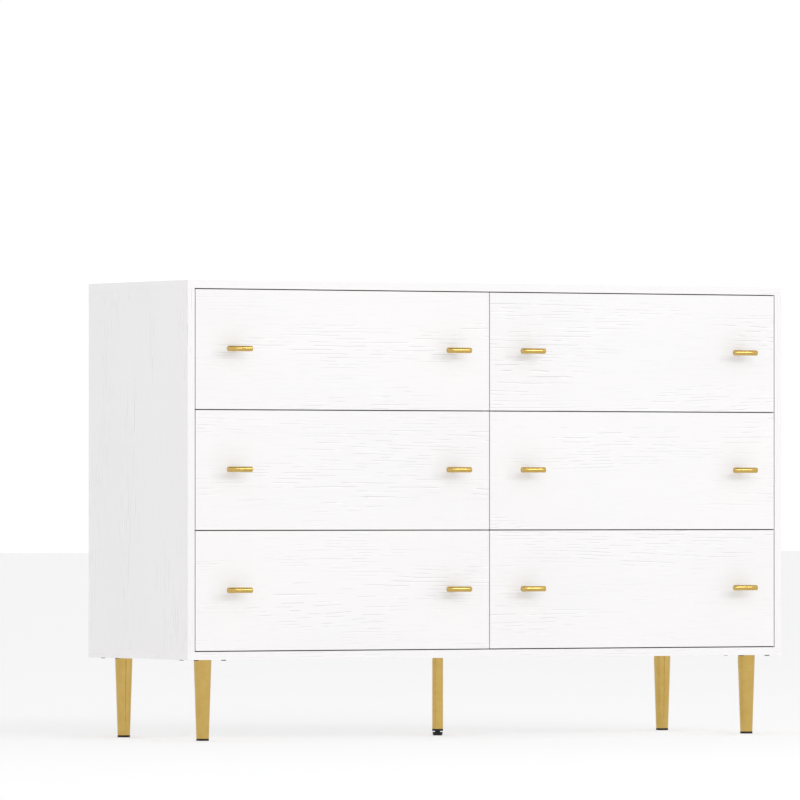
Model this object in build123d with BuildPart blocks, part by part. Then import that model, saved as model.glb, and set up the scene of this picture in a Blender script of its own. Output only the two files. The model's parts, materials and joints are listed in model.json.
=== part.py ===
from build123d import *
import os

# A low six-drawer dresser: a white foil-faced particle-board case on gold metal legs, with three
# rows of two drawers on telescopic slides.
# Frame: +Z up, the drawer fronts face -Y, X = 0 is the middle of the width, Z = 0 is the floor,
# and Y = 0 is half way between the tips of the knobs and the back of the case.

os.makedirs("parts", exist_ok=True)

# ---------------------------------------------------------------- driving dimensions (mm)
WIDTH = 1300.0
DEPTH = 400.0
HEIGHT = 862.0
LEG_HEIGHT = 152.0
BOARD = 15.0
GAP = 2.0
CLEAR = 0.2

# knobs
KNOB_LENGTH = 51.0
KNOB_RADIUS = 5.25
KNOB_REACH = 31.5
KNOB_INSET = 80.0
KNOB_LIFT = 1.3
KNOB_EDGE = 0.8
POST_RADIUS = 4.0
KNOB_SCREW_RADIUS = 2.0
KNOB_SCREW_HEAD_RADIUS = 4.0
KNOB_SCREW_HEAD = 2.4
KNOB_SCREW_BITE = 12.0

# drawer boxes
BOX_BOARD = 12.0
BOX_LENGTH = 350.0
BOX_HEIGHT = 170.0
BOX_LIFT = 20.0
BOX_FLOOR = 3.0
BOX_FLOOR_LIFT = 10.0
BOX_GROOVE = 5.0

# telescopic slides: the section of each member, from the case wall (0) to the drawer box
SLIDE_WIDTH = 12.7
SLIDE_LENGTH = 350.0
SLIDE_SHEET = 1.2
SLIDE_SETBACK = 2.0
SLIDE_LIFT = 60.0
SLIDE_CORNER = 1.6
SLIDE_LIP = 2.0
OUTER_HEIGHT = 45.0
OUTER_SPAN = (0.0, 10.2)
MIDDLE_HEIGHT = 36.0
MIDDLE_SPAN = (3.6, 11.0)
INNER_HEIGHT = 27.0
INNER_SPAN = (12.7, 6.0)
SLIDE_HOLE_RADIUS = 2.4
SLIDE_HOLES = (35.0, 163.0, 291.0)
SLIDE_SCREW_RADIUS = 1.75
SLIDE_SCREW_BITE = 7.0
SLIDE_SCREW_HEAD_RADIUS = 3.5
SLIDE_SCREW_HEAD = 1.6

# back panel
BACK_THICK = 3.0
BACK_INSET = 5.0
BACK_GROOVE = 7.0
BACK_TONGUE = 6.5

# cam fittings and dowels of the case
CAM_RADIUS = 7.5
CAM_DEPTH = 12.5
CAM_REACH = 34.0
BOLT_RADIUS = 3.0
BOLT_HEAD_RADIUS = 3.5
BOLT_HEAD = 4.0
BOLT_BITE = 11.0
BOLT_HOLE_RADIUS = 4.0
DOWEL_RADIUS = 4.0
DOWEL_SHORT = 10.0
DOWEL_LONG = 20.0
CAM_SETBACK = 70.0
DOWEL_SETBACK = 40.0

# legs
LEG_TOP_RADIUS = 16.75
LEG_FOOT_RADIUS = 11.9
LEG_WALL = 1.5
LEG_INSET_X = 54.0
LEG_INSET_Y = 41.5
PLATE_SIDE = 74.0
PLATE_THICK = 2.5
PLATE_CORNER = 6.0
PLATE_SCREWS = 58.0
GLIDE = 4.0
GLIDE_SPIGOT = 14.0
LEG_SCREW_RADIUS = 2.0
LEG_SCREW_LENGTH = 9.5
LEG_SCREW_HEAD_RADIUS = 5.0
LEG_SCREW_HEAD = 2.0

# centre leg and its levelling foot
CENTRE_RADIUS = 10.5
CENTRE_PLATE_SIDE = 60.0
CENTRE_PLATE_SCREWS = 42.0
PAD_HEIGHT = 6.5
PAD_TOP_RADIUS = 10.0
PAD_FOOT_RADIUS = 8.75
NECK = 2.0
PLUG_COLLAR = 4.0
PLUG_DEPTH = 16.0
STUD_RADIUS = 5.0
STUD_LENGTH = 30.0

# ---------------------------------------------------------------- derived places
CASE_FRONT = -(DEPTH + KNOB_REACH) / 2 + KNOB_REACH
CASE_BACK = CASE_FRONT + DEPTH
CASE_MIDDLE = CASE_FRONT + DEPTH / 2
CASE_FLOOR = LEG_HEIGHT + BOARD
CASE_CEILING = HEIGHT - BOARD
SIDE_CENTRE = WIDTH / 2 - BOARD / 2
SIDE_INSIDE = WIDTH / 2 - BOARD
INTERIOR_HEIGHT = CASE_CEILING - CASE_FLOOR
BACK_CENTRE = CASE_BACK - BACK_INSET - BACK_THICK / 2
BACK_FACE = CASE_BACK - BACK_INSET - BACK_THICK

FRONT_WIDTH = (2 * SIDE_INSIDE - 3 * GAP) / 2
FRONT_HEIGHT = (INTERIOR_HEIGHT - 4 * GAP) / 3
FRONT_REAR = CASE_FRONT + BOARD
DIVIDER_FRONT = FRONT_REAR + SLIDE_SETBACK
DIVIDER_DEPTH = BACK_FACE - DIVIDER_FRONT

BAY_WIDTH = SIDE_INSIDE - BOARD / 2
BOX_WIDTH = BAY_WIDTH - 2 * SLIDE_WIDTH
BOX_INSIDE = BOX_WIDTH - 2 * BOX_BOARD

CAM_ROWS = (CASE_FRONT + CAM_SETBACK, CASE_BACK - CAM_SETBACK)
DOWEL_ROWS = (CASE_FRONT + DOWEL_SETBACK, CASE_BACK - DOWEL_SETBACK)
UPRIGHTS = (-SIDE_CENTRE, 0.0, SIDE_CENTRE)

LEG_X = WIDTH / 2 - LEG_INSET_X
LEG_FRONT = CASE_FRONT + LEG_INSET_Y
LEG_BACK = CASE_BACK - LEG_INSET_Y
LEGS = {
    "front_left": (-LEG_X, LEG_FRONT),
    "front_right": (LEG_X, LEG_FRONT),
    "back_left": (-LEG_X, LEG_BACK),
    "back_right": (LEG_X, LEG_BACK),
}
CENTRE_LEG = (0.0, CASE_MIDDLE)
CENTRE_FOOT_TOP = PAD_HEIGHT + NECK + PLUG_COLLAR

ROWS = ("bottom", "middle", "top")
BAYS = {"left": -1, "right": 1}
ROW_FLOORS = [CASE_FLOOR + GAP + row * (FRONT_HEIGHT + GAP) for row in range(len(ROWS))]
SLIDE_HEIGHTS = [row_floor + BOX_LIFT + SLIDE_LIFT for row_floor in ROW_FLOORS]
SLIDE_HOLE_ROWS = [DIVIDER_FRONT + hole for hole in SLIDE_HOLES]


def save(piece, name):
    """Label one finished piece and write it as a STEP file."""
    piece.part.label = name
    export_step(piece.part, f"parts/{name}.step")


def save_group(name, pieces):
    """Write several separate solids that belong together as one STEP file."""
    group = Compound(label=name, children=pieces)
    export_step(group, f"parts/{name}.step")


def grid(columns, rows):
    """All the points where the given columns and rows cross."""
    return [(column, row) for column in columns for row in rows]


def wall_plane(wall_x, side):
    """The plane of an upright board's face at X = wall_x, facing along X = side."""
    return Plane(origin=(wall_x, 0, 0), x_dir=(0, 1, 0), z_dir=(side, 0, 0))


def wall_points(plane, rows, heights):
    """Local points on a wall plane, for given Y rows and Z heights."""
    return [
        plane.to_local_coords(Vector(plane.origin.X, row, height))
        for row in rows
        for height in heights
    ]


# ---------------------------------------------------------------- case panels
# The top lies over the uprights and the bottom runs under them. Both have the same holes in
# their inner faces: a bolt hole and a dowel hole over each upright, and a groove for the back.
def horizontal_panel(name, inner_height, outward):
    """The top (outward = 1) or the bottom (outward = -1) of the case."""
    inner_plane = Plane.XY.offset(inner_height)
    with BuildPart() as panel:
        with BuildSketch(inner_plane):
            with Locations((0, CASE_MIDDLE)):
                Rectangle(WIDTH, DEPTH)
        extrude(amount=outward * BOARD)
        with BuildSketch(inner_plane):
            with Locations((0, BACK_CENTRE)):
                Rectangle(2 * SIDE_INSIDE + 2 * BACK_GROOVE, BACK_THICK)
        extrude(amount=outward * BACK_GROOVE, mode=Mode.SUBTRACT)
        with BuildSketch(inner_plane):
            with Locations(*grid(UPRIGHTS, CAM_ROWS)):
                Circle(BOLT_RADIUS)
        extrude(amount=outward * BOLT_BITE, mode=Mode.SUBTRACT)
        with BuildSketch(inner_plane):
            with Locations(*grid(UPRIGHTS, DOWEL_ROWS)):
                Circle(DOWEL_RADIUS)
        extrude(amount=outward * DOWEL_SHORT, mode=Mode.SUBTRACT)
        if outward < 0:
            # Recesses for the leg plates and pilot holes for their screws, in the underside.
            under_plane = Plane.XY.offset(LEG_HEIGHT)
            with BuildSketch(under_plane):
                with Locations(*LEGS.values()):
                    RectangleRounded(PLATE_SIDE, PLATE_SIDE, PLATE_CORNER)
                with Locations(CENTRE_LEG):
                    RectangleRounded(CENTRE_PLATE_SIDE, CENTRE_PLATE_SIDE, PLATE_CORNER)
            extrude(amount=PLATE_THICK, mode=Mode.SUBTRACT)
            with BuildSketch(under_plane):
                with Locations(*LEGS.values()):
                    with GridLocations(PLATE_SCREWS, PLATE_SCREWS, 2, 2):
                        Circle(LEG_SCREW_RADIUS)
                with Locations(CENTRE_LEG):
                    with GridLocations(CENTRE_PLATE_SCREWS, CENTRE_PLATE_SCREWS, 2, 2):
                        Circle(LEG_SCREW_RADIUS)
            extrude(amount=PLATE_THICK + LEG_SCREW_LENGTH, mode=Mode.SUBTRACT)
    save(panel, name)


horizontal_panel("top_panel", CASE_CEILING, 1)
horizontal_panel("bottom_panel", CASE_FLOOR, -1)


# Each upright holds, at both of its ends, two cam locks let into one face, the holes that
# their bolts run up, and two dowel holes.
def upright_panel(name, centre, front, depth, cam_side, slide_sides):
    """A side panel or the divider; cam_side is the X direction that its cam locks face, and
    slide_sides are the X directions of the faces that carry slides."""
    middle = front + depth / 2
    cam_face = wall_plane(centre + cam_side * BOARD / 2, cam_side)
    with BuildPart() as panel:
        with BuildSketch(Plane.XY.offset(CASE_FLOOR)):
            with Locations((centre, middle)):
                Rectangle(BOARD, depth)
        extrude(amount=INTERIOR_HEIGHT)
        if len(slide_sides) == 1:
            with BuildSketch(Plane.XY.offset(CASE_FLOOR)):
                groove_centre = centre + cam_side * (BOARD - BACK_GROOVE) / 2
                with Locations((groove_centre, BACK_CENTRE)):
                    Rectangle(BACK_GROOVE, BACK_THICK)
            extrude(amount=INTERIOR_HEIGHT, mode=Mode.SUBTRACT)
        for end, inward in ((CASE_FLOOR, 1), (CASE_CEILING, -1)):
            with BuildSketch(Plane.XY.offset(end)):
                with Locations(*grid((centre,), CAM_ROWS)):
                    Circle(BOLT_HOLE_RADIUS)
            extrude(amount=inward * CAM_REACH, mode=Mode.SUBTRACT)
            with BuildSketch(Plane.XY.offset(end)):
                with Locations(*grid((centre,), DOWEL_ROWS)):
                    Circle(DOWEL_RADIUS)
            extrude(amount=inward * DOWEL_LONG, mode=Mode.SUBTRACT)
            cam_height = end + inward * CAM_REACH
            with BuildSketch(cam_face):
                with Locations(*wall_points(cam_face, CAM_ROWS, (cam_height,))):
                    Circle(CAM_RADIUS)
            extrude(amount=-CAM_DEPTH, mode=Mode.SUBTRACT)
        for slide_side in slide_sides:
            slide_face = wall_plane(centre + slide_side * BOARD / 2, slide_side)
            with BuildSketch(slide_face):
                with Locations(*wall_points(slide_face, SLIDE_HOLE_ROWS, SLIDE_HEIGHTS)):
                    Circle(SLIDE_SCREW_RADIUS)
            extrude(amount=-SLIDE_SCREW_BITE, mode=Mode.SUBTRACT)
    save(panel, name)


upright_panel("left_side_panel", -SIDE_CENTRE, CASE_FRONT, DEPTH, 1, (1,))
upright_panel("right_side_panel", SIDE_CENTRE, CASE_FRONT, DEPTH, -1, (-1,))
upright_panel("centre_divider", 0.0, DIVIDER_FRONT, DIVIDER_DEPTH, -1, (-1, 1))

# The back is two hardboard sheets that meet behind the divider, held in grooves on the other
# three sides.
for bay, side in BAYS.items():
    sheet_width = SIDE_INSIDE + BACK_TONGUE - CLEAR
    with BuildPart() as back_panel:
        with BuildSketch(Plane.XY.offset(CASE_FLOOR - BACK_TONGUE)):
            with Locations((side * (CLEAR + sheet_width / 2), BACK_CENTRE)):
                Rectangle(sheet_width, BACK_THICK)
        extrude(amount=INTERIOR_HEIGHT + 2 * BACK_TONGUE)
    save(back_panel, f"back_panel_{bay}")

# ---------------------------------------------------------------- case fasteners
# A cam fitting is a bolt screwed into the top or the bottom and the cam lock that draws its
# head in. It is drawn once, with local Z up the bolt from the joint and local X out of the
# lock's face, and then placed at each joint.
CAM_SLOT_RADIUS = BOLT_HEAD_RADIUS + CLEAR
CAM_CROSS_LENGTH = 8.0
CAM_CROSS_WIDTH = 1.8
CAM_CROSS_DEPTH = 2.0
ENDS = ((CASE_FLOOR, 1), (CASE_CEILING, -1))
CAM_FACES = ((-SIDE_CENTRE, 1), (0.0, -1), (SIDE_CENTRE, -1))

with BuildPart() as cam_lock:
    lock_face = Plane(origin=(BOARD / 2, 0, CAM_REACH), x_dir=(0, 1, 0), z_dir=(1, 0, 0))
    with BuildSketch(lock_face):
        Circle(CAM_RADIUS - CLEAR / 2)
    extrude(amount=-(CAM_DEPTH - CLEAR))
    with BuildSketch(lock_face):
        Rectangle(CAM_CROSS_LENGTH, CAM_CROSS_WIDTH)
        Rectangle(CAM_CROSS_WIDTH, CAM_CROSS_LENGTH)
    extrude(amount=-CAM_CROSS_DEPTH, mode=Mode.SUBTRACT)
    with BuildSketch(Plane.XY):
        Circle(CAM_SLOT_RADIUS)
    extrude(amount=CAM_REACH + BOLT_HEAD / 2 + CLEAR, mode=Mode.SUBTRACT)

with BuildPart() as cam_bolt:
    with BuildSketch(Plane.XY.offset(-(BOLT_BITE - CLEAR))):
        Circle(BOLT_RADIUS)
    extrude(amount=BOLT_BITE - CLEAR + CAM_REACH - BOLT_HEAD / 2)
    with BuildSketch(Plane.XY.offset(CAM_REACH - BOLT_HEAD / 2)):
        Circle(BOLT_HEAD_RADIUS)
    extrude(amount=BOLT_HEAD)

cam_places = [
    Plane(origin=(centre, row, end), x_dir=(cam_side, 0, 0), z_dir=(0, 0, inward))
    for centre, cam_side in CAM_FACES
    for end, inward in ENDS
    for row in CAM_ROWS
]
with BuildPart() as cam_fittings:
    with Locations(*cam_places):
        add(cam_lock.part)
        add(cam_bolt.part)
save(cam_fittings, "cam_fittings")

with BuildPart() as wooden_dowels:
    for end, inward in ENDS:
        with BuildSketch(Plane.XY.offset(end - inward * (DOWEL_SHORT - CLEAR))):
            with Locations(*grid(UPRIGHTS, DOWEL_ROWS)):
                Circle(DOWEL_RADIUS)
        extrude(amount=inward * (DOWEL_SHORT + DOWEL_LONG - 2 * CLEAR))
save(wooden_dowels, "wooden_dowels")

# ---------------------------------------------------------------- legs
# A leg is a tube welded to a plate that is let into the bottom panel, flush with its underside.
def leg_plate(centre, side, spacing):
    """The square plate at the top of one leg, with its four screw holes."""
    with BuildPart() as plate:
        with BuildSketch(Plane.XY.offset(LEG_HEIGHT)):
            with Locations(centre):
                RectangleRounded(side, side, PLATE_CORNER)
                with GridLocations(spacing, spacing, 2, 2):
                    Circle(LEG_SCREW_RADIUS, mode=Mode.SUBTRACT)
        extrude(amount=PLATE_THICK)
    return plate.part


for place, (leg_x, leg_y) in LEGS.items():
    with BuildPart() as tapered_tube:
        with BuildSketch(Plane(origin=(leg_x, leg_y, 0), x_dir=(1, 0, 0), z_dir=(0, -1, 0))):
            with BuildLine():
                Polyline(
                    (LEG_FOOT_RADIUS - LEG_WALL, GLIDE),
                    (LEG_FOOT_RADIUS, GLIDE),
                    (LEG_TOP_RADIUS, LEG_HEIGHT),
                    (LEG_TOP_RADIUS - LEG_WALL, LEG_HEIGHT),
                    close=True,
                )
            make_face()
        revolve(axis=Axis((leg_x, leg_y, 0), (0, 0, 1)))
    plate = leg_plate((leg_x, leg_y), PLATE_SIDE, PLATE_SCREWS)
    save_group(f"leg_{place}", tapered_tube.solids() + plate.solids())

with BuildPart() as straight_tube:
    with BuildSketch(Plane.XY.offset(CENTRE_FOOT_TOP)):
        with Locations(CENTRE_LEG):
            Circle(CENTRE_RADIUS)
            Circle(CENTRE_RADIUS - LEG_WALL, mode=Mode.SUBTRACT)
    extrude(amount=LEG_HEIGHT - CENTRE_FOOT_TOP)
plate = leg_plate(CENTRE_LEG, CENTRE_PLATE_SIDE, CENTRE_PLATE_SCREWS)
save_group("centre_leg", straight_tube.solids() + plate.solids())

# Black plugs close the tubes: a glide under each corner leg, and a threaded plug with a
# collar in the centre leg.
with BuildPart() as leg_plugs:
    glide_radius = LEG_FOOT_RADIUS - LEG_WALL
    for leg_x, leg_y in LEGS.values():
        with BuildSketch(Plane.XY):
            with Locations((leg_x, leg_y)):
                Circle(LEG_FOOT_RADIUS)
        extrude(amount=GLIDE)
        with BuildSketch(Plane.XY.offset(GLIDE)):
            with Locations((leg_x, leg_y)):
                Circle(glide_radius)
        extrude(amount=GLIDE_SPIGOT)
    with BuildSketch(Plane.XY.offset(CENTRE_FOOT_TOP - PLUG_COLLAR)):
        with Locations(CENTRE_LEG):
            Circle(CENTRE_RADIUS)
    extrude(amount=PLUG_COLLAR)
    with BuildSketch(Plane.XY.offset(CENTRE_FOOT_TOP)):
        with Locations(CENTRE_LEG):
            Circle(CENTRE_RADIUS - LEG_WALL)
    extrude(amount=PLUG_DEPTH)
    with BuildSketch(Plane.XY.offset(CENTRE_FOOT_TOP - PLUG_COLLAR)):
        with Locations(CENTRE_LEG):
            Circle(STUD_RADIUS + CLEAR / 2)
    extrude(amount=PLUG_COLLAR + PLUG_DEPTH, mode=Mode.SUBTRACT)
save(leg_plugs, "leg_plugs")

with BuildPart() as levelling_foot:
    with BuildSketch(Plane.XY):
        with Locations(CENTRE_LEG):
            Circle(PAD_FOOT_RADIUS)
    with BuildSketch(Plane.XY.offset(PAD_HEIGHT)):
        with Locations(CENTRE_LEG):
            Circle(PAD_TOP_RADIUS)
    loft()
    with BuildSketch(Plane.XY.offset(PAD_HEIGHT)):
        with Locations(CENTRE_LEG):
            Circle(STUD_RADIUS)
    extrude(amount=STUD_LENGTH)
save(levelling_foot, "levelling_foot")


# ---------------------------------------------------------------- telescopic slides
# Each member is a channel folded from sheet, with lips that turn in around its ball track. The
# outer one opens away from the case wall that it is screwed to, and the middle one nests in it;
# the inner one opens the other way, with its web on the drawer box.
def channel(plane, span, height):
    """The section of one slide member; span runs from its web's outer face to its lips."""
    web_face, lip_face = span
    opening = 1 if lip_face > web_face else -1
    web = web_face + opening * SLIDE_SHEET / 2
    lip = lip_face - opening * SLIDE_SHEET / 2
    edge = height / 2 - SLIDE_SHEET / 2
    lip_end = edge - SLIDE_LIP
    with BuildSketch(plane) as section:
        with BuildLine():
            FilletPolyline(
                (lip, lip_end),
                (lip, edge),
                (web, edge),
                (web, -edge),
                (lip, -edge),
                (lip, -lip_end),
                radius=SLIDE_CORNER,
            )
        trace(line_width=SLIDE_SHEET)
    return section.sketch


def slide_plane(wall_x, inward, height):
    """The section plane of one slide: local X leads from the case wall to the drawer box."""
    return Plane(origin=(wall_x, DIVIDER_FRONT, height), x_dir=(inward, 0, 0), z_dir=(0, 1, 0))


def bay_walls(side):
    """The two case walls of one bay, as (x, direction into the bay)."""
    near = (side * BOARD / 2, side)
    far = (side * SIDE_INSIDE, -side)
    return near, far


with BuildPart() as slide_outer_members:
    for side in BAYS.values():
        for wall_x, inward in bay_walls(side):
            for height in SLIDE_HEIGHTS:
                section = channel(slide_plane(wall_x, inward, height), OUTER_SPAN, OUTER_HEIGHT)
                extrude(section, amount=SLIDE_LENGTH)
            wall = wall_plane(wall_x, inward)
            with BuildSketch(wall):
                with Locations(*wall_points(wall, SLIDE_HOLE_ROWS, SLIDE_HEIGHTS)):
                    Circle(SLIDE_HOLE_RADIUS)
            extrude(amount=SLIDE_SHEET, mode=Mode.SUBTRACT)
save(slide_outer_members, "slide_outer_members")


# ---------------------------------------------------------------- case screws
# Pan-head wood screws: head down under each corner of each leg plate, and through the webs of
# the outer slide members into the case walls.
with BuildPart() as leg_screws:
    plates = [(place, PLATE_SCREWS) for place in LEGS.values()]
    plates.append((CENTRE_LEG, CENTRE_PLATE_SCREWS))
    for plate_centre, spacing in plates:
        with BuildSketch(Plane.XY.offset(LEG_HEIGHT - LEG_SCREW_HEAD)):
            with Locations(plate_centre):
                with GridLocations(spacing, spacing, 2, 2):
                    Circle(LEG_SCREW_HEAD_RADIUS)
        extrude(amount=LEG_SCREW_HEAD)
        with BuildSketch(Plane.XY.offset(LEG_HEIGHT)):
            with Locations(plate_centre):
                with GridLocations(spacing, spacing, 2, 2):
                    Circle(LEG_SCREW_RADIUS)
        extrude(amount=PLATE_THICK + LEG_SCREW_LENGTH - CLEAR)
    head_rims = leg_screws.edges().filter_by(GeomType.CIRCLE).group_by(Axis.Z)[0]
    fillet(head_rims, LEG_SCREW_HEAD * 0.6)

with BuildPart() as slide_screws:
    for side in BAYS.values():
        for wall_x, inward in bay_walls(side):
            wall = wall_plane(wall_x, inward)
            with BuildSketch(wall.offset(SLIDE_SHEET)):
                with Locations(*wall_points(wall, SLIDE_HOLE_ROWS, SLIDE_HEIGHTS)):
                    Circle(SLIDE_SCREW_HEAD_RADIUS)
            extrude(amount=SLIDE_SCREW_HEAD)
            with BuildSketch(wall.offset(SLIDE_SHEET)):
                with Locations(*wall_points(wall, SLIDE_HOLE_ROWS, SLIDE_HEIGHTS)):
                    Circle(SLIDE_SCREW_RADIUS)
            extrude(amount=CLEAR - SLIDE_SCREW_BITE - SLIDE_SHEET)
save_group("case_screws", leg_screws.solids() + slide_screws.solids())


# ---------------------------------------------------------------- drawers
def drawer(name, side, front_floor, slide_height):
    """All the pieces of one drawer, and the middle members of its two slides."""
    bay_centre = side * (BOARD / 2 + BAY_WIDTH / 2)
    front_centre = side * (GAP / 2 + FRONT_WIDTH / 2)
    box_floor = front_floor + BOX_LIFT
    sheet_floor = box_floor + BOX_FLOOR_LIFT
    front_middle = front_floor + FRONT_HEIGHT / 2
    knob_height = front_middle + KNOB_LIFT
    knob_columns = [front_centre + hand * (FRONT_WIDTH / 2 - KNOB_INSET) for hand in (-1, 1)]
    front_face = Plane(origin=(0, CASE_FRONT, 0), x_dir=(1, 0, 0), z_dir=(0, -1, 0))
    knob_points = [(column, knob_height) for column in knob_columns]

    with BuildPart() as front:
        with BuildSketch(front_face):
            with Locations((front_centre, front_middle)):
                Rectangle(FRONT_WIDTH, FRONT_HEIGHT)
            with Locations(*knob_points):
                Circle(KNOB_SCREW_RADIUS, mode=Mode.SUBTRACT)
        extrude(amount=-BOARD)
        with BuildSketch(Plane.XY.offset(sheet_floor)):
            with Locations((bay_centre, FRONT_REAR - BOX_GROOVE / 2)):
                Rectangle(BOX_INSIDE + 2 * BOX_GROOVE, BOX_GROOVE)
        extrude(amount=BOX_FLOOR, mode=Mode.SUBTRACT)
    save(front, f"{name}_drawer_front")

    with BuildPart() as box_sides:
        for hand in (-1, 1):
            board_centre = bay_centre + hand * (BOX_WIDTH - BOX_BOARD) / 2
            groove_centre = bay_centre + hand * (BOX_INSIDE + BOX_GROOVE) / 2
            box_middle = FRONT_REAR + BOX_LENGTH / 2
            with BuildSketch(Plane.XY.offset(box_floor)):
                with Locations((board_centre, box_middle)):
                    Rectangle(BOX_BOARD, BOX_LENGTH)
            extrude(amount=BOX_HEIGHT)
            with BuildSketch(Plane.XY.offset(sheet_floor)):
                with Locations((groove_centre, box_middle)):
                    Rectangle(BOX_GROOVE, BOX_LENGTH)
            extrude(amount=BOX_FLOOR, mode=Mode.SUBTRACT)
    save(box_sides, f"{name}_drawer_sides")

    with BuildPart() as box_back:
        with BuildSketch(Plane.XY.offset(sheet_floor + BOX_FLOOR)):
            with Locations((bay_centre, FRONT_REAR + BOX_LENGTH - BOX_BOARD / 2)):
                Rectangle(BOX_INSIDE, BOX_BOARD)
        extrude(amount=BOX_HEIGHT - BOX_FLOOR_LIFT - BOX_FLOOR)
    save(box_back, f"{name}_drawer_back")

    with BuildPart() as box_bottom:
        tongue = BOX_GROOVE - CLEAR
        sheet_length = BOX_LENGTH + tongue
        with BuildSketch(Plane.XY.offset(sheet_floor)):
            with Locations((bay_centre, FRONT_REAR - tongue + sheet_length / 2)):
                Rectangle(BOX_INSIDE + 2 * tongue, sheet_length)
        extrude(amount=BOX_FLOOR)
    save(box_bottom, f"{name}_drawer_bottom")

    # A knob is a bar, a post let into the bar's back, and a screw that comes through the
    # front from inside the drawer and bites into the post.
    bar_centre = KNOB_REACH - KNOB_RADIUS
    post_length = bar_centre - KNOB_RADIUS
    with BuildPart() as bars:
        for column in knob_columns:
            bar_end = Plane(
                origin=(column - KNOB_LENGTH / 2, CASE_FRONT - bar_centre, knob_height),
                x_dir=(0, 1, 0),
                z_dir=(1, 0, 0),
            )
            with BuildSketch(bar_end):
                Circle(KNOB_RADIUS)
            extrude(amount=KNOB_LENGTH)
        chamfer(bars.edges().filter_by(GeomType.CIRCLE), KNOB_EDGE)
        with BuildSketch(front_face.offset(bar_centre)):
            with Locations(*knob_points):
                Circle(POST_RADIUS)
        extrude(amount=-KNOB_RADIUS, mode=Mode.SUBTRACT)
    with BuildPart() as posts:
        with BuildSketch(front_face):
            with Locations(*knob_points):
                Circle(POST_RADIUS)
        extrude(amount=bar_centre)
        with BuildSketch(front_face):
            with Locations(*knob_points):
                Circle(KNOB_SCREW_RADIUS)
        extrude(amount=KNOB_SCREW_BITE, mode=Mode.SUBTRACT)
    with BuildPart() as knob_screws:
        with BuildSketch(front_face.offset(-BOARD - KNOB_SCREW_HEAD)):
            with Locations(*knob_points):
                Circle(KNOB_SCREW_HEAD_RADIUS)
        extrude(amount=KNOB_SCREW_HEAD)
        with BuildSketch(front_face.offset(-BOARD)):
            with Locations(*knob_points):
                Circle(KNOB_SCREW_RADIUS)
        extrude(amount=BOARD + KNOB_SCREW_BITE - CLEAR)
        head_rims = knob_screws.edges().filter_by(GeomType.CIRCLE).group_by(Axis.Y)[-1]
        fillet(head_rims, KNOB_SCREW_HEAD / 2)
    save_group(f"{name}_knobs", bars.solids() + posts.solids() + knob_screws.solids())

    for member, span, height in (
        ("middle", MIDDLE_SPAN, MIDDLE_HEIGHT),
        ("inner", INNER_SPAN, INNER_HEIGHT),
    ):
        with BuildPart() as slide_members:
            for wall_x, inward in bay_walls(side):
                section = channel(slide_plane(wall_x, inward, slide_height), span, height)
                extrude(section, amount=SLIDE_LENGTH)
                web_face, lip_face = span
                wall = wall_plane(wall_x, inward)
                with BuildSketch(wall.offset(web_face)):
                    with Locations(*wall_points(wall, SLIDE_HOLE_ROWS, (slide_height,))):
                        Circle(SLIDE_HOLE_RADIUS)
                web_depth = SLIDE_SHEET if lip_face > web_face else -SLIDE_SHEET
                extrude(amount=web_depth, mode=Mode.SUBTRACT)
        save(slide_members, f"{name}_slide_{member}_members")


for row_name, front_floor, slide_height in zip(ROWS, ROW_FLOORS, SLIDE_HEIGHTS):
    for bay, side in BAYS.items():
        drawer(f"{row_name}_{bay}", side, front_floor, slide_height)
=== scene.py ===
import json
import math

import bmesh
import bpy
from mathutils import Matrix, Vector


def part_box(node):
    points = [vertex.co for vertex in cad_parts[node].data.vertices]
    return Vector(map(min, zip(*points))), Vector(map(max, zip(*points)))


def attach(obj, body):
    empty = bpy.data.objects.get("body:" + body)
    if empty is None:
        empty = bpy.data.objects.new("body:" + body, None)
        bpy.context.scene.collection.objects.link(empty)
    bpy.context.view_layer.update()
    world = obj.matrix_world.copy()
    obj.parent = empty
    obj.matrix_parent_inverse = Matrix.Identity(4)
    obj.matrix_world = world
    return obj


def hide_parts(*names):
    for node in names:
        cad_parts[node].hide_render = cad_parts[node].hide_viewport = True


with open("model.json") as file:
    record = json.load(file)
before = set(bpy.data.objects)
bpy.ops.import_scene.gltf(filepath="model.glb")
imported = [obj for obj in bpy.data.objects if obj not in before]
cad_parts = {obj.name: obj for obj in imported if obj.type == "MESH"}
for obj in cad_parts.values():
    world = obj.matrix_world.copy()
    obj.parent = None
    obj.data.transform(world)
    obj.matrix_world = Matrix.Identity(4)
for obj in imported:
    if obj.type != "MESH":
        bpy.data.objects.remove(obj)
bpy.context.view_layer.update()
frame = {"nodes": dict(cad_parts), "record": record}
NODES = frame["nodes"]
RECORD = frame["record"]

MM = 0.001
ROWS = ("bottom", "middle", "top")
BAYS = ("left", "right")
DRAWERS = [f"{row}_{bay}" for row in ROWS for bay in BAYS]
LEG_PLACES = ("front_left", "front_right", "back_left", "back_right")
SLIDE_HOLE_SETBACKS = (35 * MM, 163 * MM, 291 * MM)
SLIDE_SHEET = 1.2 * MM

# ---------------------------------------------------------------- camera
# A long lens far off to the front left and almost level, at about half the dresser's height.
CAMERA_TURN = math.radians(29.352)
CAMERA_TILT = math.radians(0.597)
CAMERA_DISTANCE = 18.744
CAMERA_HEIGHT = 0.4473
CAMERA_AIM = Vector((-0.0698, 0.0387, 0.0))
CAMERA_LENS = 440.24
SENSOR_WIDTH = 36.0
CLIP_NEAR = 0.1
CLIP_FAR = 400.0


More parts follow.
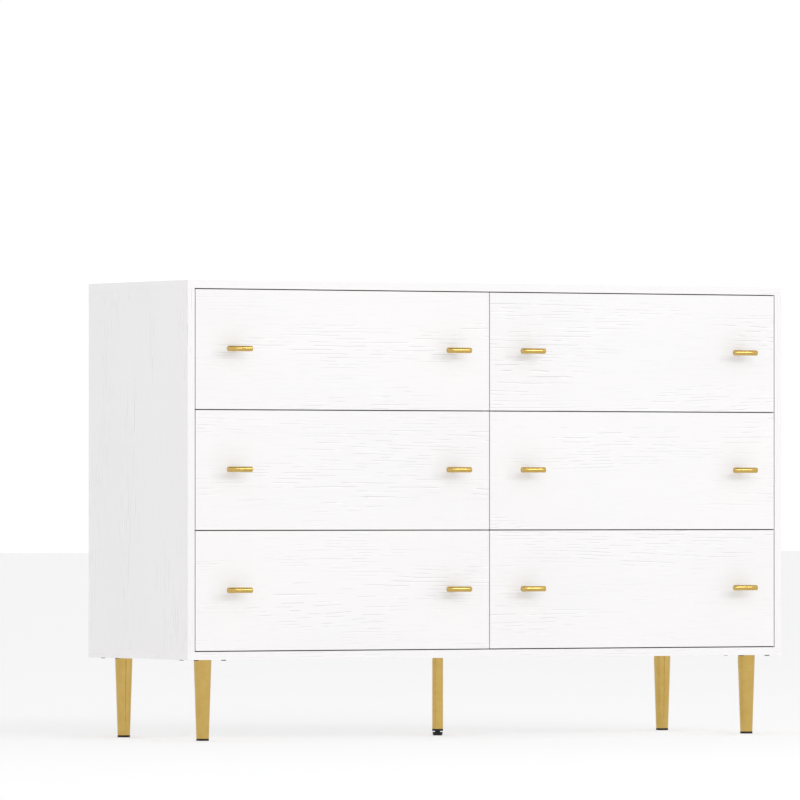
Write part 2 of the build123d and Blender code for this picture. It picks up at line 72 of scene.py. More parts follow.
def make_camera():
    data = bpy.data.cameras.new("camera")
    data.lens = CAMERA_LENS
    data.sensor_width = SENSOR_WIDTH
    data.clip_start = CLIP_NEAR
    data.clip_end = CLIP_FAR
    camera = bpy.data.objects.new("camera", data)
    bpy.context.scene.collection.objects.link(camera)
    forward = Vector((math.sin(CAMERA_TURN), math.cos(CAMERA_TURN), 0.0))
    camera.location = CAMERA_AIM - forward * CAMERA_DISTANCE
    camera.location.z = CAMERA_HEIGHT
    camera.rotation_euler = (math.pi / 2 + CAMERA_TILT, 0.0, -CAMERA_TURN)
    bpy.context.scene.camera = camera


# ---------------------------------------------------------------- node helpers
class Graph:
    """A few shortcuts for wiring one material's nodes."""

    def __init__(self, tree):
        self.tree = tree

    def add(self, kind, inputs=None, **settings):
        """A new node; inputs maps a socket's name or number to a value or another socket."""
        node = self.tree.nodes.new(kind)
        for key, value in settings.items():
            setattr(node, key, value)
        for key, value in (inputs or {}).items():
            if isinstance(value, bpy.types.NodeSocket):
                self.tree.links.new(value, node.inputs[key])
            else:
                node.inputs[key].default_value = value
        return node

    def math(self, operation, first, second=0.0, clamp=False):
        node = self.add("ShaderNodeMath", {0: first, 1: second}, operation=operation)
        node.use_clamp = clamp
        return node.outputs[0]

    def ramp(self, value, low, high, out_low=0.0, out_high=1.0):
        """Value taken smoothly from low..high to out_low..out_high."""
        node = self.add(
            "ShaderNodeMapRange",
            {"Value": value, "From Min": low, "From Max": high,
             "To Min": out_low, "To Max": out_high},
            interpolation_type="SMOOTHSTEP",
        )
        return node.outputs["Result"]

    def noise(self, vector, scale=1.0, detail=2.0, roughness=0.5):
        node = self.add(
            "ShaderNodeTexNoise",
            {"Vector": vector, "Scale": scale, "Detail": detail, "Roughness": roughness},
        )
        return node.outputs["Fac"]

    def stretch(self, vector, scales):
        node = self.add("ShaderNodeMapping", {"Vector": vector, "Scale": scales})
        return node.outputs["Vector"]

    def mix(self, factor, first, second):
        node = self.add("ShaderNodeMix", data_type="RGBA")
        factor_in, first_in, second_in = node.inputs[0], node.inputs[6], node.inputs[7]
        for socket, value in ((factor_in, factor), (first_in, first), (second_in, second)):
            if isinstance(value, bpy.types.NodeSocket):
                self.tree.links.new(value, socket)
            else:
                socket.default_value = value
        return node.outputs[2]


def new_material(name):
    """(material, graph, shader) of a fresh Principled material."""
    material = bpy.data.materials.new(name)
    material.use_nodes = True
    return material, Graph(material.node_tree), material.node_tree.nodes["Principled BSDF"]


def link(graph, socket, target):
    graph.tree.links.new(socket, target)


def add_bump(graph, shader, height, distance, strength=1.0):
    bump = graph.add(
        "ShaderNodeBump", {"Height": height, "Distance": distance, "Strength": strength}
    )
    link(graph, bump.outputs["Normal"], shader.inputs["Normal"])


# ---------------------------------------------------------------- white wood-grain foil
FOIL_WHITE = (0.864, 0.852, 0.852, 1.0)
FOIL_COOL = (0.849, 0.838, 0.841, 1.0)
FOIL_STREAK = (0.640, 0.632, 0.636, 1.0)
FOIL_LIGHT = (0.940, 0.936, 0.935, 1.0)
BOARD_OFFSET = (1.731, 0.917, 1.273)
LINE_PITCH = 6.8 * MM
SWEEP_TURN = 52.0
WIGGLE_TURN = 4.0
LIGHT_LAG = 1.1
PORE_DEPTH = 0.24
EMBOSS = 0.04 * MM


def grain_scales(axis, along, across):
    """Texture scales, per metre, for grain that runs along one axis."""
    return tuple(along if index == axis else across for index in range(3))


def make_foil(name, axis):
    """White foil printed and embossed with wood grain along one axis of the row frame."""
    material, graph, shader = new_material(name)
    place = graph.add("ShaderNodeTexCoord").outputs["Object"]
    board = graph.add("ShaderNodeObjectInfo").outputs["Object Index"]
    shift = graph.add(
        "ShaderNodeVectorMath", {0: BOARD_OFFSET, "Scale": board}, operation="SCALE"
    ).outputs[0]
    place = graph.add("ShaderNodeVectorMath", {0: place, 1: shift}, operation="ADD").outputs[0]

    # Growth lines about a centimetre apart, which wander, bunch up and break off.
    across = graph.add(
        "ShaderNodeVectorMath", {0: place, 1: grain_scales(axis, 0.0, 1.0)},
        operation="DOT_PRODUCT",
    ).outputs["Value"]
    sweep = graph.noise(graph.stretch(place, grain_scales(axis, 0.9, 9.0)), detail=1.0)
    wiggle = graph.noise(graph.stretch(place, grain_scales(axis, 12.0, 45.0)), detail=1.0)
    phase = graph.math("MULTIPLY", across, 2 * math.pi / LINE_PITCH)
    phase = graph.math("ADD", phase, graph.math("MULTIPLY", sweep, SWEEP_TURN))
    phase = graph.math("ADD", phase, graph.math("MULTIPLY", wiggle, WIGGLE_TURN))
    dark_wave = graph.math("SINE", phase)
    light_wave = graph.math("SINE", graph.math("ADD", phase, LIGHT_LAG))
    breaks = graph.noise(graph.stretch(place, grain_scales(axis, 19.0, 160.0)), detail=1.0)
    clusters = graph.noise(graph.stretch(place, grain_scales(axis, 2.4, 13.0)), detail=2.0)
    pores = graph.noise(graph.stretch(place, grain_scales(axis, 18.0, 700.0)), detail=2.0)
    cloud = graph.noise(graph.stretch(place, grain_scales(axis, 2.0, 5.0)), detail=2.0)

    # Each line has a dark edge and a bright one just beside it; fine pores lie between them.
    mask = graph.math("MULTIPLY", graph.ramp(breaks, 0.47, 0.58),
                      graph.ramp(clusters, 0.46, 0.60, 0.04, 1.0))
    streaks = graph.math("MULTIPLY", graph.ramp(dark_wave, 0.80, 0.99), mask)
    pore_marks = graph.ramp(pores, 0.58, 0.76, 0.0, PORE_DEPTH)
    streaks = graph.math("ADD", streaks, pore_marks, clamp=True)
    bright = graph.math("MULTIPLY", graph.ramp(light_wave, 0.70, 0.97), mask)

    colour = graph.mix(graph.ramp(cloud, 0.35, 0.70), FOIL_WHITE, FOIL_COOL)
    colour = graph.mix(bright, colour, FOIL_LIGHT)
    colour = graph.mix(streaks, colour, FOIL_STREAK)
    link(graph, colour, shader.inputs["Base Color"])
    rough = graph.math("ADD", graph.ramp(cloud, 0.3, 0.7, 0.40, 0.47),
                       graph.math("MULTIPLY", streaks, 0.14))
    link(graph, rough, shader.inputs["Roughness"])
    add_bump(graph, shader, graph.math("SUBTRACT", bright, streaks), EMBOSS, 0.5)
    shader.inputs["IOR"].default_value = 1.45
    return material


def make_hardboard():
    """Thin fibreboard with a matt white printed face."""
    material, graph, shader = new_material("white_hardboard")
    place = graph.add("ShaderNodeTexCoord").outputs["Object"]
    fibres = graph.noise(graph.stretch(place, (1.0, 1.0, 0.45)), 900.0, 3.0, 0.6)
    mottle = graph.noise(place, 35.0, 3.0, 0.6)
    colour = graph.mix(graph.ramp(mottle, 0.30, 0.70),
                       (0.772, 0.771, 0.758, 1.0), (0.756, 0.754, 0.739, 1.0))
    colour = graph.mix(graph.ramp(fibres, 0.60, 0.75, 0.0, 0.35), colour,
                       (0.60, 0.595, 0.57, 1.0))
    link(graph, colour, shader.inputs["Base Color"])
    link(graph, graph.ramp(fibres, 0.3, 0.7, 0.55, 0.68), shader.inputs["Roughness"])
    add_bump(graph, shader, fibres, 0.00008, 0.5)
    return material


# ---------------------------------------------------------------- metals
def make_gold():
    """Satin gold plating over steel, with faint polishing marks."""
    material, graph, shader = new_material("gold_metal")
    place = graph.add("ShaderNodeTexCoord").outputs["Object"]
    smudge = graph.noise(place, 42.0, 3.0, 0.6)
    marks = graph.noise(graph.stretch(place, (260.0, 900.0, 900.0)), detail=3.0, roughness=0.7)
    colour = graph.mix(graph.ramp(smudge, 0.3, 0.7),
                       (0.590, 0.405, 0.125, 1.0), (0.560, 0.375, 0.105, 1.0))
    colour = graph.mix(graph.ramp(marks, 0.58, 0.78, 0.0, 0.25), colour,
                       (0.66, 0.49, 0.20, 1.0))
    link(graph, colour, shader.inputs["Base Color"])
    rough = graph.math("ADD", graph.ramp(smudge, 0.3, 0.7, 0.12, 0.145),
                       graph.ramp(marks, 0.5, 0.8, 0.0, 0.03))
    link(graph, rough, shader.inputs["Roughness"])
    shader.inputs["Metallic"].default_value = 1.0
    add_bump(graph, shader, marks, 0.000004, 0.3)
    return material


def make_zinc():
    """Bright zinc plating: a faint mottle of crystals, and the sheet's rolling lines along Y."""
    material, graph, shader = new_material("zinc_steel")
    place = graph.add("ShaderNodeTexCoord").outputs["Object"]
    crystals = graph.add("ShaderNodeTexVoronoi", {"Vector": place, "Scale": 260.0})
    crystal_tone = graph.add("ShaderNodeSeparateColor",
                             {"Color": crystals.outputs["Color"]}).outputs["Red"]
    rolling = graph.noise(graph.stretch(place, (1400.0, 12.0, 1400.0)), detail=2.0)
    tone = graph.math("ADD", graph.math("MULTIPLY", crystal_tone, 0.35),
                      graph.math("MULTIPLY", rolling, 0.65))
    colour = graph.mix(tone, (0.50, 0.51, 0.53, 1.0), (0.70, 0.71, 0.73, 1.0))
    link(graph, colour, shader.inputs["Base Color"])
    link(graph, graph.ramp(tone, 0.2, 0.8, 0.24, 0.40), shader.inputs["Roughness"])
    shader.inputs["Metallic"].default_value = 1.0
    add_bump(graph, shader, rolling, 0.00002, 0.5)
    return material


def make_shade_dark_steel():
    """Black phosphate on screw steel, made near-black partly as painted shade: dark, dry, with a
    faint blotchy sheen.
    """
    material, graph, shader = new_material("black_steel")
    place = graph.add("ShaderNodeTexCoord").outputs["Object"]
    blotch = graph.noise(place, 900.0, 3.0, 0.6)
    # Near-black tones, partly painted shade: the heads under the case come out as dark as they
    # look in shadow.
    colour = graph.mix(graph.ramp(blotch, 0.35, 0.70),
                       (0.020, 0.019, 0.018, 1.0), (0.055, 0.052, 0.048, 1.0))
    link(graph, colour, shader.inputs["Base Color"])
    link(graph, graph.ramp(blotch, 0.3, 0.7, 0.36, 0.52), shader.inputs["Roughness"])
    shader.inputs["Metallic"].default_value = 0.6
    add_bump(graph, shader, blotch, 0.00002, 0.4)
    return material


def make_black_plastic():
    """Moulded black plastic with a fine spark-eroded grain."""
    material, graph, shader = new_material("black_plastic")
    place = graph.add("ShaderNodeTexCoord").outputs["Object"]
    grain = graph.noise(place, 2200.0, 2.0, 0.6)
    scuffs = graph.noise(place, 120.0, 3.0, 0.7)
    colour = graph.mix(graph.ramp(scuffs, 0.55, 0.75),
                       (0.010, 0.010, 0.011, 1.0), (0.024, 0.024, 0.025, 1.0))
    link(graph, colour, shader.inputs["Base Color"])
    link(graph, graph.ramp(scuffs, 0.3, 0.7, 0.46, 0.60), shader.inputs["Roughness"])
    shader.inputs["Specular IOR Level"].default_value = 0.3
    add_bump(graph, shader, grain, 0.00004, 0.5)
    return material


def make_beech():
    """Beech dowel: pale wood with short dark flecks along the dowel."""
    material, graph, shader = new_material("beech_dowel")
    place = graph.add("ShaderNodeTexCoord").outputs["Object"]
    grain = graph.noise(graph.stretch(place, (700.0, 700.0, 45.0)), detail=3.0)
    flecks = graph.noise(graph.stretch(place, (1500.0, 1500.0, 300.0)), detail=1.0)
    colour = graph.mix(graph.ramp(grain, 0.35, 0.65),
                       (0.60, 0.42, 0.25, 1.0), (0.50, 0.32, 0.17, 1.0))
    colour = graph.mix(graph.ramp(flecks, 0.66, 0.75), colour, (0.30, 0.17, 0.08, 1.0))
    link(graph, colour, shader.inputs["Base Color"])
    link(graph, graph.ramp(grain, 0.3, 0.7, 0.50, 0.65), shader.inputs["Roughness"])
    add_bump(graph, shader, grain, 0.00006, 0.6)
    return material


FOIL = [make_foil(f"white_foil_along_{letter}", axis) for axis, letter in enumerate("xyz")]
HARDBOARD = make_hardboard()
GOLD = make_gold()
ZINC = make_zinc()
BLACK = make_black_plastic()
SHADE_DARK_STEEL = make_shade_dark_steel()
BEECH = make_beech()
BY_SLOT = {
    "white_hardboard": HARDBOARD,
    "gold_metal": GOLD,
    "zinc_steel": ZINC,
    "black_plastic": BLACK,
    "black_steel": SHADE_DARK_STEEL,
    "beech_dowel": BEECH,
}


# ---------------------------------------------------------------- CAD nodes
UPRIGHT_BOARDS = ("left_side_panel", "right_side_panel", "centre_divider")
EDGE_RADIUS = 0.5 * MM
METAL_EDGE = 0.25 * MM
WELD_DISTANCE = 0.01 * MM
BEVEL_ANGLE = math.radians(35.0)
FLAT_ANGLE = math.radians(0.5)


def soften(piece, radius, segments):
    """Round a mesh's sharp edges, without changing the mesh data itself."""
    weld = piece.modifiers.new("weld", "WELD")
    weld.merge_threshold = WELD_DISTANCE
    flatten = piece.modifiers.new("flatten", "DECIMATE")
    flatten.decimate_type = "DISSOLVE"
    flatten.angle_limit = FLAT_ANGLE
    bevel = piece.modifiers.new("bevel", "BEVEL")
    bevel.width = radius
    bevel.segments = segments
    bevel.limit_method = "ANGLE"
    bevel.angle_limit = BEVEL_ANGLE
    normals = piece.modifiers.new("normals", "WEIGHTED_NORMAL")
    normals.weight = 100


def foil_for(name):
    """The foil whose grain runs the way that this board was cut."""
    if name in UPRIGHT_BOARDS:
        return FOIL[2]
    if name.endswith("_drawer_sides"):
        return FOIL[1]
    return FOIL[0]


def finish_nodes():
    """Give every CAD node its material, and boards their own cut of the grain."""
    for index, part in enumerate(RECORD["subparts"]):
        name, slot = part["node"], part["material_slot"]
        node = NODES[name]
        node.pass_index = index + 1
        node.data.materials.clear()
        is_board = slot == "white_foil_board"
        node.data.materials.append(foil_for(name) if is_board else BY_SLOT[slot])
        if is_board:
            soften(node, EDGE_RADIUS, 3)
        elif name.startswith(("leg_front", "leg_back", "centre_leg")):
            soften(node, METAL_EDGE, 2)


# ---------------------------------------------------------------- mesh helpers
SMOOTH_ANGLE = math.radians(38.0)
JOIN_DISTANCE = 0.002 * MM


def revolve(bm, profile, matrix, segments=40):
    """Turn (radius, height) points about local Z, and place the result with matrix."""
    rings = []
    for radius, height in profile:
        if radius == 0.0:
            rings.append([bm.verts.new(matrix @ Vector((0.0, 0.0, height)))])
            continue
        ring = []
        for step in range(segments):
            angle = 2 * math.pi * step / segments
            point = Vector((radius * math.cos(angle), radius * math.sin(angle), height))
            ring.append(bm.verts.new(matrix @ point))
        rings.append(ring)
    for lower, upper in zip(rings, rings[1:]):
        for step in range(segments):
            after = (step + 1) % segments
            if len(lower) == 1:
                bm.faces.new((lower[0], upper[after], upper[step]))
            elif len(upper) == 1:
                bm.faces.new((lower[step], lower[after], upper[0]))
            else:
                bm.faces.new((lower[step], lower[after], upper[after], upper[step]))


def rounded(radius, height, corner, steps=4):
    """Profile points of a rounded corner: out at radius, then in towards the axis at height."""
    points = []
    for step in range(steps + 1):
        angle = math.pi / 2 * step / steps
        points.append((radius - corner + corner * math.cos(angle),
                       height - corner + corner * math.sin(angle)))
    return points


def to_object(bm, name, material, body):
    """Turn a bmesh into a piece that rides on a body and wears the material it is given."""
    bmesh.ops.recalc_face_normals(bm, faces=bm.faces)
    mesh = bpy.data.meshes.new(name)
    bm.to_mesh(mesh)
    bm.free()
    for polygon in mesh.polygons:
        polygon.use_smooth = True
    mesh.set_sharp_from_angle(angle=SMOOTH_ANGLE)
    mesh.materials.append(material)
    piece = bpy.data.objects.new(name, mesh)
    bpy.context.scene.collection.objects.link(piece)
    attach(piece, body)
    return piece


def facing(point, axis):
    """A matrix at point whose local Z is axis."""
    z_axis = axis.normalized()
    upright = abs(z_axis.z) > 0.9
    helper = Vector((1.0, 0.0, 0.0)) if upright else Vector((0.0, 0.0, 1.0))
    x_axis = helper.cross(z_axis).normalized()
    y_axis = z_axis.cross(x_axis)
    matrix = Matrix((x_axis, y_axis, z_axis)).transposed().to_4x4()
    matrix.translation = point
    return matrix


# ---------------------------------------------------------------- screws
def screw_mesh(name, head_radius, head_height, shank_radius, shank_length):
    """A pan-head screw with a cross recess; its seat is at local Z = 0 and its head above."""
    dome = 0.55 * head_height
    profile = [(0.0, -shank_length), (0.35 * shank_radius, -shank_length),
               (shank_radius, -shank_length + 2 * shank_radius), (shank_radius, 0.0),
               (head_radius, 0.0), (head_radius, head_height - dome)]
    for step in range(1, 6):
        angle = math.pi / 2 * step / 6
        profile.append((head_radius * math.cos(angle) ** 0.8,
                        head_height - dome + dome * math.sin(angle)))
    profile.append((0.0, head_height))
    bm = bmesh.new()
    revolve(bm, profile, Matrix.Identity(4), 32)
    bmesh.ops.recalc_face_normals(bm, faces=bm.faces)
    body_mesh = bpy.data.meshes.new(name)
    bm.to_mesh(body_mesh)
    bm.free()
    body = bpy.data.objects.new(name, body_mesh)
    bpy.context.scene.collection.objects.link(body)

    arm, half = 0.52 * head_radius, 0.13 * head_radius
    outline = [(arm, -half), (arm, half), (half, half), (half, arm), (-half, arm),
               (-half, half), (-arm, half), (-arm, -half), (-half, -half), (-half, -arm),
               (half, -arm), (half, -half)]
    bm = bmesh.new()
    above = [bm.verts.new((x, y, head_height * 1.2)) for x, y in outline]
    below = [bm.verts.new((0.6 * x, 0.6 * y, head_height * 0.35)) for x, y in outline]
    bm.faces.new(above)
    bm.faces.new(list(reversed(below)))
    for step in range(len(outline)):
        after = (step + 1) % len(outline)
        bm.faces.new((above[step], below[step], below[after], above[after]))
    bmesh.ops.recalc_face_normals(bm, faces=bm.faces)
    cutter_mesh = bpy.data.meshes.new("recess")
    bm.to_mesh(cutter_mesh)
    bm.free()
    cutter = bpy.data.objects.new("recess", cutter_mesh)
    bpy.context.scene.collection.objects.link(cutter)

    cut = body.modifiers.new("cut", "BOOLEAN")
    cut.operation = "DIFFERENCE"
    cut.object = cutter
    cut.solver = "EXACT"
    evaluated = body.evaluated_get(bpy.context.evaluated_depsgraph_get())
    result = bpy.data.meshes.new_from_object(evaluated)
    bpy.data.objects.remove(body)
    bpy.data.objects.remove(cutter)
    return result


def stamp(bm, mesh, matrix):
    """Copy a ready mesh into a bmesh, placed with matrix."""
    before = len(bm.verts)
    bm.from_mesh(mesh)
    bm.verts.ensure_lookup_table()
    for vertex in bm.verts[before:]:
        vertex.co = matrix @ vertex.co


# ---------------------------------------------------------------- knobs
KNOB_LENGTH = 51 * MM
KNOB_RADIUS = 5.25 * MM
KNOB_REACH = 31.5 * MM
KNOB_INSET = 80 * MM
KNOB_LIFT = 1.3 * MM
POST_RADIUS = 4 * MM
KNOB_CORNER = 0.9 * MM
KNOB_DISH = 0.25 * MM
BAR_SEGMENTS = 64
POST_SEGMENTS = 48
POST_FOOT = 0.35 * MM
POST_BITE = 0.2 * MM


def add_knob(bm, column, front_y, height):
    """One T-bar knob: a turned bar with eased ends, on a round post with a small foot."""
    half = KNOB_LENGTH / 2
    bar_y = front_y - (KNOB_REACH - KNOB_RADIUS)
    end = rounded(KNOB_RADIUS, half, KNOB_CORNER) + [
        (KNOB_RADIUS - 1.5 * KNOB_CORNER, half),
        (KNOB_RADIUS - 2.0 * KNOB_CORNER, half - KNOB_DISH),
        (0.0, half - KNOB_DISH),
    ]
    profile = [(radius, -along) for radius, along in reversed(end)]
    profile += [(KNOB_RADIUS, -half / 3), (KNOB_RADIUS, half / 3)] + end
    along_x = facing(Vector((column, bar_y, height)), Vector((1.0, 0.0, 0.0)))
    revolve(bm, profile, along_x, BAR_SEGMENTS)

    # The post's outer end is cut to a saddle that fits the bar.
    rings = []
    foot = ((POST_RADIUS - POST_FOOT, 0.0), (POST_RADIUS, POST_FOOT), (POST_RADIUS, None))
    for radius, reach in foot:
        ring = []
        for step in range(POST_SEGMENTS):
            angle = 2 * math.pi * step / POST_SEGMENTS
            x, z = radius * math.cos(angle), radius * math.sin(angle)
            saddle = KNOB_REACH - KNOB_RADIUS - math.sqrt(KNOB_RADIUS ** 2 - z ** 2)
            depth = saddle + POST_BITE if reach is None else reach
            ring.append(bm.verts.new((column + x, front_y - depth, height + z)))
        rings.append(ring)
    for lower, upper in zip(rings, rings[1:]):
        for step in range(POST_SEGMENTS):
            after = (step + 1) % POST_SEGMENTS
            bm.faces.new((lower[step], lower[after], upper[after], upper[step]))
    bm.faces.new(rings[0])
    bm.faces.new(rings[-1])


def make_knobs():
    """Two bar knobs on each drawer front."""
    for drawer in DRAWERS:
        low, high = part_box(f"{drawer}_drawer_front")
        bm = bmesh.new()
        for column in (low[0] + KNOB_INSET, high[0] - KNOB_INSET):
            add_knob(bm, column, low[1], (low[2] + high[2]) / 2 + KNOB_LIFT)
        knobs = to_object(bm, f"{drawer}_bar_knobs", GOLD, f"{drawer}_drawer")
        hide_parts(f"{drawer}_knobs")


# ---------------------------------------------------------------- drawer fittings
BOX_BOARD = 12 * MM
FITTING_HEIGHTS = (42 * MM, 128 * MM)
CAM_SETBACK = 24 * MM
SCREW_TURN = 0.7
KNOB_SCREW = dict(head_radius=4 * MM, head_height=2.4 * MM, shank_radius=2 * MM,
                  shank_length=14 * MM)
BOX_SLIDE_SCREW = dict(head_radius=3.5 * MM, head_height=1.6 * MM, shank_radius=1.75 * MM,
                       shank_length=9 * MM)
BOX_SCREW = dict(head_radius=3.6 * MM, head_height=0.7 * MM, shank_radius=2 * MM,
                 shank_length=10 * MM)
BOX_CAM = dict(head_radius=6 * MM, head_height=0.6 * MM, shank_radius=5.5 * MM,
               shank_length=9 * MM)


def make_drawer_fittings():
    """The knob screws, the slides' screws, and the screws and cams that hold each box."""
    knob_screw = screw_mesh("knob_screw", **KNOB_SCREW)
    slide_screw = screw_mesh("box_slide_screw", **BOX_SLIDE_SCREW)
    box_screw = screw_mesh("box_screw", **BOX_SCREW)
    cam = screw_mesh("box_cam", **BOX_CAM)
    for drawer in DRAWERS:
        low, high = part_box(f"{drawer}_drawer_front")
        box_low, box_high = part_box(f"{drawer}_drawer_sides")
        slide_low, slide_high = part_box(f"{drawer}_slide_inner_members")
        slide_height = (slide_low[2] + slide_high[2]) / 2
        places = []
        for column in (low[0] + KNOB_INSET, high[0] - KNOB_INSET):
            seat = Vector((column, high[1], (low[2] + high[2]) / 2 + KNOB_LIFT))
            places.append((knob_screw, seat, Vector((0.0, 1.0, 0.0))))
        for side, wall_x in ((-1, box_low[0]), (1, box_high[0])):
            outward = Vector((side, 0.0, 0.0))
            for setback in SLIDE_HOLE_SETBACKS:
                seat = Vector((wall_x + side * SLIDE_SHEET, slide_low[1] + setback, slide_height))
                places.append((slide_screw, seat, outward))
            for lift in FITTING_HEIGHTS:
                rear = Vector((wall_x, box_high[1] - BOX_BOARD / 2, box_low[2] + lift))
                places.append((box_screw, rear, outward))
                inside_x = wall_x - side * BOX_BOARD
                front = Vector((inside_x, box_low[1] + CAM_SETBACK, box_low[2] + lift))
                places.append((cam, front, -outward))
        bm = bmesh.new()
        for index, (mesh, seat, axis) in enumerate(places):
            turn = Matrix.Rotation(SCREW_TURN * index, 4, "Z")
            stamp(bm, mesh, facing(seat, axis) @ turn)
        to_object(bm, f"{drawer}_fittings", ZINC, f"{drawer}_drawer")


# ---------------------------------------------------------------- case screws
LEG_SCREW = dict(head_radius=5 * MM, head_height=2 * MM, shank_radius=2 * MM,
                 shank_length=11.8 * MM)
SLIDE_SCREW = dict(head_radius=3.5 * MM, head_height=1.6 * MM, shank_radius=1.75 * MM,
                   shank_length=8.0 * MM)
PLATE_SCREWS = {"leg": 58 * MM, "centre": 42 * MM}


def make_case_screws():
    """The screws of the leg plates, and those of the slides' outer members."""
    leg_screw = screw_mesh("leg_screw", **LEG_SCREW)
    slide_screw = screw_mesh("slide_screw", **SLIDE_SCREW)
    bm = bmesh.new()
    plates = [(f"leg_{place}", PLATE_SCREWS["leg"]) for place in LEG_PLACES]
    plates.append(("centre_leg", PLATE_SCREWS["centre"]))
    turn = 0.0
    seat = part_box("bottom_panel")[0][2]
    for name, spacing in plates:
        low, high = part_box(name)
        middle = Vector(((low[0] + high[0]) / 2, (low[1] + high[1]) / 2, 0.0))
        for x_side in (-1, 1):
            for y_side in (-1, 1):
                point = middle + Vector((x_side, y_side, 0.0)) * spacing / 2
                point.z = seat
                turn += SCREW_TURN
                place = facing(point, Vector((0.0, 0.0, -1.0)))
                stamp(bm, leg_screw, place @ Matrix.Rotation(turn, 4, "Z"))
    divider_low, divider_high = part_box("centre_divider")
    left_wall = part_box("left_side_panel")[1][0]
    right_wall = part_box("right_side_panel")[0][0]
    walls = ((left_wall, 1), (divider_low[0], -1), (divider_high[0], 1), (right_wall, -1))
    for row in ROWS:
        low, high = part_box(f"{row}_left_slide_middle_members")
        height = (low[2] + high[2]) / 2
        for wall_x, inward in walls:
            for setback in SLIDE_HOLE_SETBACKS:
                point = Vector((wall_x + inward * SLIDE_SHEET, low[1] + setback, height))
                turn += SCREW_TURN
                place = facing(point, Vector((inward, 0.0, 0.0)))
                stamp(bm, slide_screw, place @ Matrix.Rotation(turn, 4, "Z"))
    # The screws wear the near-black steel, partly painted shade for the shaded heads under the
    # case.
    screws = to_object(bm, "case_screw_set", SHADE_DARK_STEEL, "case")
    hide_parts("case_screws")


# ---------------------------------------------------------------- weld beads under the plates
BEAD = 1.8 * MM
BEAD_ROOT = 0.5 * MM
BEAD_STEPS = 4
BEAD_SEGMENTS = 72
LEG_TUBES = {"leg": 16.75 * MM, "centre": 10.5 * MM}


def make_weld_beads():
    """A hollow-throated bead of weld round the top of each leg's tube."""
    bm = bmesh.new()
    tubes = [(f"leg_{place}", LEG_TUBES["leg"]) for place in LEG_PLACES]
    tubes.append(("centre_leg", LEG_TUBES["centre"]))
    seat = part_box("bottom_panel")[0][2]
    for name, radius in tubes:
        low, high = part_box(name)
        middle = Vector(((low[0] + high[0]) / 2, (low[1] + high[1]) / 2, seat))
        profile = [(radius - BEAD_ROOT, -BEAD), (radius, -BEAD)]
        for step in range(1, BEAD_STEPS + 1):
            angle = math.pi / 2 * step / BEAD_STEPS
            profile.append((radius + BEAD * (1 - math.cos(angle)), -BEAD * (1 - math.sin(angle))))
        profile += [(radius - BEAD_ROOT, 0.0), (radius - BEAD_ROOT, -BEAD)]
        revolve(bm, profile, Matrix.Translation(middle), BEAD_SEGMENTS)
    bmesh.ops.remove_doubles(bm, verts=bm.verts, dist=JOIN_DISTANCE)
    to_object(bm, "leg_weld_beads", GOLD, "case")


# ---------------------------------------------------------------- back of the case
COVER_HALF = 11 * MM
COVER_SLOPE = 3 * MM
COVER_THICK = 1.4 * MM
COVER_LIP = 0.7 * MM
COVER_EDGE = 0.25 * MM
COVER_PLAY = 1 * MM
PIN_COUNT = 6
PIN = dict(head_radius=2 * MM, head_height=0.8 * MM, shank_radius=0.8 * MM, shank_length=8 * MM)


def make_back_strip():
    """A moulded strip over the joint of the two back sheets, pinned to the divider."""
    floor_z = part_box("bottom_panel")[1][2] + COVER_PLAY
    ceiling_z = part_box("top_panel")[0][2] - COVER_PLAY
    face_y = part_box("back_panel_left")[1][1]
    crown = COVER_HALF - COVER_SLOPE
    section = [(-COVER_HALF, 0.0), (-COVER_HALF, COVER_LIP), (-crown, COVER_THICK),
               (crown, COVER_THICK), (COVER_HALF, COVER_LIP), (COVER_HALF, 0.0)]
    bm = bmesh.new()
    lower = [bm.verts.new((x, face_y + y, floor_z)) for x, y in section]
    upper = [bm.verts.new((x, face_y + y, ceiling_z)) for x, y in section]
    bm.faces.new(lower)
    bm.faces.new(upper)
    for index in range(len(section)):
        after = (index + 1) % len(section)
        bm.faces.new((lower[index], lower[after], upper[after], upper[index]))
    bmesh.ops.bevel(bm, geom=bm.edges[:], offset=COVER_EDGE, segments=2, affect="EDGES")
    to_object(bm, "back_joint_strip", HARDBOARD, "case")
    pin = screw_mesh("back_pin", **PIN)
    bm = bmesh.new()
    for index in range(PIN_COUNT):
        height = floor_z + (ceiling_z - floor_z) * (index + 0.5) / PIN_COUNT
        seat = Vector((0.0, face_y + COVER_THICK, height))
        turn = Matrix.Rotation(SCREW_TURN * index, 4, "Z")
        stamp(bm, pin, facing(seat, Vector((0.0, 1.0, 0.0))) @ turn)
    to_object(bm, "back_strip_pins", ZINC, "case")


# ---------------------------------------------------------------- light and floor
# A round key from the front and above, and a low strip from the right that the bars reflect.
LIGHT_DISTANCE = 9.0
LIGHT_AIM = Vector((0.0, 0.0, 0.4))
KEY_DIRECTION = Vector((-0.09, -1.0, 0.52)).normalized()
KEY_SIZE = 3.2
KEY_POWER = 72.0
STRIP_DIRECTION = Vector((0.49, -0.78, 0.38)).normalized()
STRIP_SIZE = (1.8, 1.0)
STRIP_POWER = 64.0
SKY_LEVEL = 1.03
SKY_HIGH = 0.34
SKY_FADE = (0.74, 0.92)
FLOOR_HALF = 60.0
FLOOR_WHITE = (0.86, 0.86, 0.86, 1.0)
FLOOR_COOL = (0.85, 0.85, 0.855, 1.0)
FLOOR_GLOW = 0.19


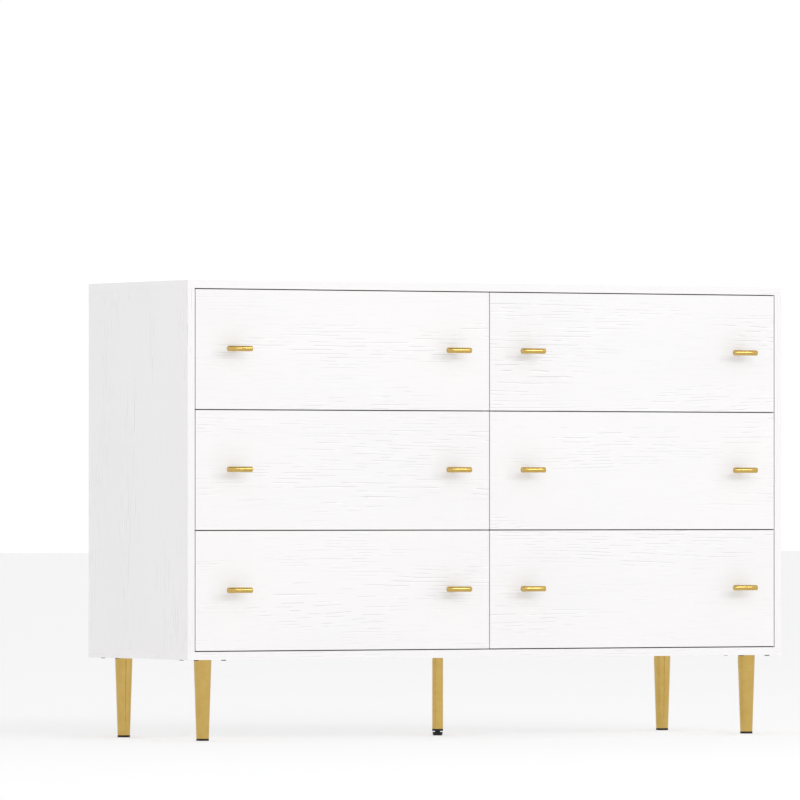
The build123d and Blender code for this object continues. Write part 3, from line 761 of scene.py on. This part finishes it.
def add_softbox(name, direction, shape, size, power):
    """An area light, LIGHT_DISTANCE away, that faces the dresser."""
    data = bpy.data.lights.new(name, "AREA")
    data.shape = shape
    data.size = size[0]
    if shape == "RECTANGLE":
        data.size_y = size[1]
    data.energy = power
    light = bpy.data.objects.new(name, data)
    light.location = direction * LIGHT_DISTANCE + LIGHT_AIM
    light.rotation_euler = direction.to_track_quat("Z", "Y").to_euler()
    bpy.context.scene.collection.objects.link(light)


def make_light():
    """The sky and the two softboxes."""
    world = bpy.data.worlds.new("studio")
    bpy.context.scene.world = world
    world.use_nodes = True
    graph = Graph(world.node_tree)
    # Even white all round, fading overhead, which gives the bars and tubes a darker top edge.
    direction = graph.add("ShaderNodeTexCoord").outputs["Generated"]
    upward = graph.add("ShaderNodeSeparateXYZ", {0: direction}).outputs["Z"]
    strength = graph.ramp(upward, *SKY_FADE, SKY_LEVEL, SKY_HIGH)
    background = world.node_tree.nodes["Background"]
    background.inputs["Color"].default_value = (1.0, 1.0, 1.0, 1.0)
    world.node_tree.links.new(strength, background.inputs["Strength"])
    add_softbox("key", KEY_DIRECTION, "DISK", (KEY_SIZE, KEY_SIZE), KEY_POWER)
    add_softbox("strip", STRIP_DIRECTION, "RECTANGLE", STRIP_SIZE, STRIP_POWER)
    bpy.context.scene.view_settings.view_transform = "Standard"


def make_floor():
    """A plain pale floor; a faint glow of its own makes up for the missing walls."""
    mesh = bpy.data.meshes.new("floor")
    corners = [(x * FLOOR_HALF, y * FLOOR_HALF, 0.0)
               for x, y in ((-1, -1), (1, -1), (1, 1), (-1, 1))]
    mesh.from_pydata(corners, [], [(0, 1, 2, 3)])
    floor = bpy.data.objects.new("floor", mesh)
    bpy.context.scene.collection.objects.link(floor)
    material, graph, shader = new_material("floor")
    place = graph.add("ShaderNodeTexCoord").outputs["Object"]
    mottle = graph.noise(place, 3.0, 3.0)
    colour = graph.mix(mottle, FLOOR_WHITE, FLOOR_COOL)
    link(graph, colour, shader.inputs["Base Color"])
    shader.inputs["Roughness"].default_value = 0.9
    shader.inputs["Emission Color"].default_value = (1.0, 1.0, 1.0, 1.0)
    shader.inputs["Emission Strength"].default_value = FLOOR_GLOW
    mesh.materials.append(material)


make_camera()
make_light()
make_floor()
finish_nodes()
make_knobs()
make_drawer_fittings()
make_case_screws()
make_weld_beads()
make_back_strip()
